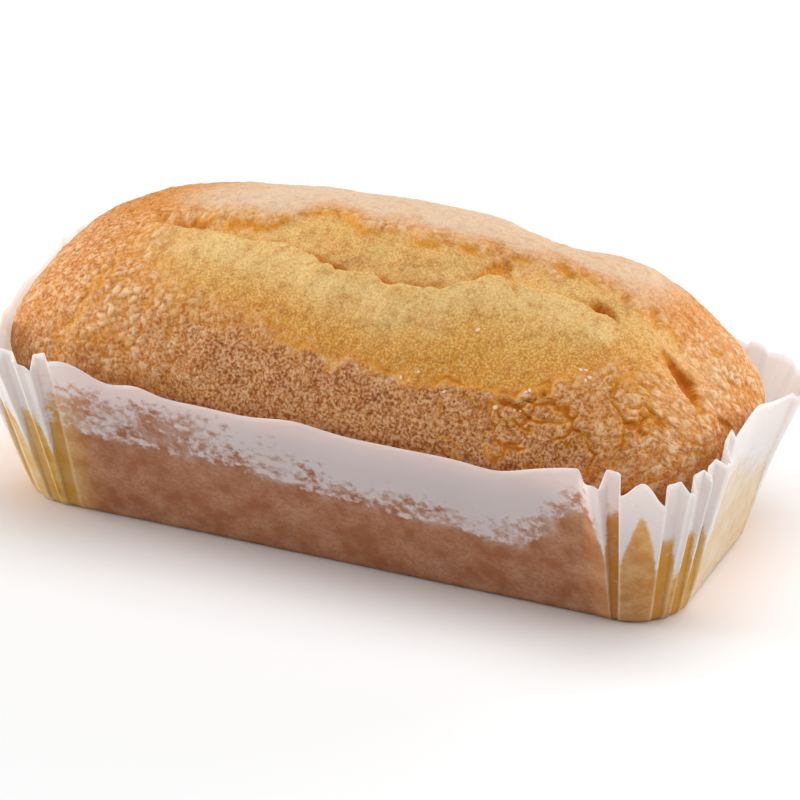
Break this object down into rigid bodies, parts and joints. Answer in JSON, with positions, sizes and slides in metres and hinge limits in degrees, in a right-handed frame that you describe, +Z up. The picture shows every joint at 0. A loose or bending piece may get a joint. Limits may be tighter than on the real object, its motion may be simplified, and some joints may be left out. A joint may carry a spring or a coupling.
{
  "type": "mini pound cake",
  "caption": "Loaf-shaped mini pound cake with a split golden top, in a white paper loaf case with pleated corners.",
  "frame": {"origin": "centre of the bounding box in X and Y, on the paper case's flat underside at z = 0", "axes": "+X along the loaf, -Y towards the front long side, +Z up out of the case"},
  "size_m": [0.1006, 0.0468, 0.0403],
  "materials": {
    "baked_crust": "dry, grainy baked crust",
    "white_paper": "thin greaseproof paper, soaked with fat low down"
  },
  "bodies": {
    "root": {"cake": "baked_crust", "paper_case": "white_paper"}
  },
  "joints": []
}
